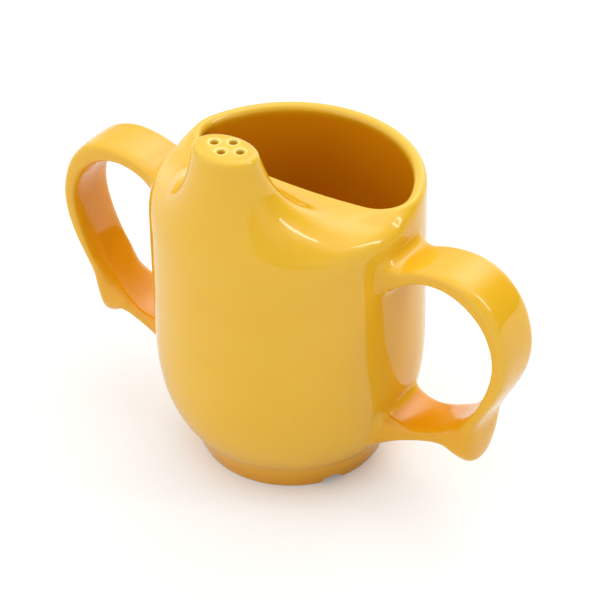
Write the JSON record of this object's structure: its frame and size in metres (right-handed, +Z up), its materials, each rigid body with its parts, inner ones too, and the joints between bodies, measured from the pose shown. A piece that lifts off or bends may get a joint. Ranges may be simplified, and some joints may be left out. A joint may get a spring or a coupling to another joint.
{
  "type": "two-handled feeder cup",
  "caption": "Ceramic drinking cup with a half hood, a drinking spout with holes, a D-shaped mouth, a strap handle on each side with a finger rest, and a notched foot ring.",
  "frame": {"origin": "middle of the foot ring's underside", "axes": "+Z up, +X through the right handle, the spout at the -Y side"},
  "size_m": [0.1496, 0.076, 0.1113],
  "materials": {
    "body_glaze": "clear gloss glaze over golden yellow",
    "handle_glaze": "clear gloss glaze over golden yellow",
    "slip_glaze": "the same glaze over fired slip"
  },
  "bodies": {
    "root": {"cup_body": "body_glaze", "left_handle": "handle_glaze", "right_handle": "handle_glaze", "left_upper_slip_joint": "slip_glaze", "left_lower_slip_joint": "slip_glaze", "right_upper_slip_joint": "slip_glaze", "right_lower_slip_joint": "slip_glaze"}
  },
  "joints": []
}
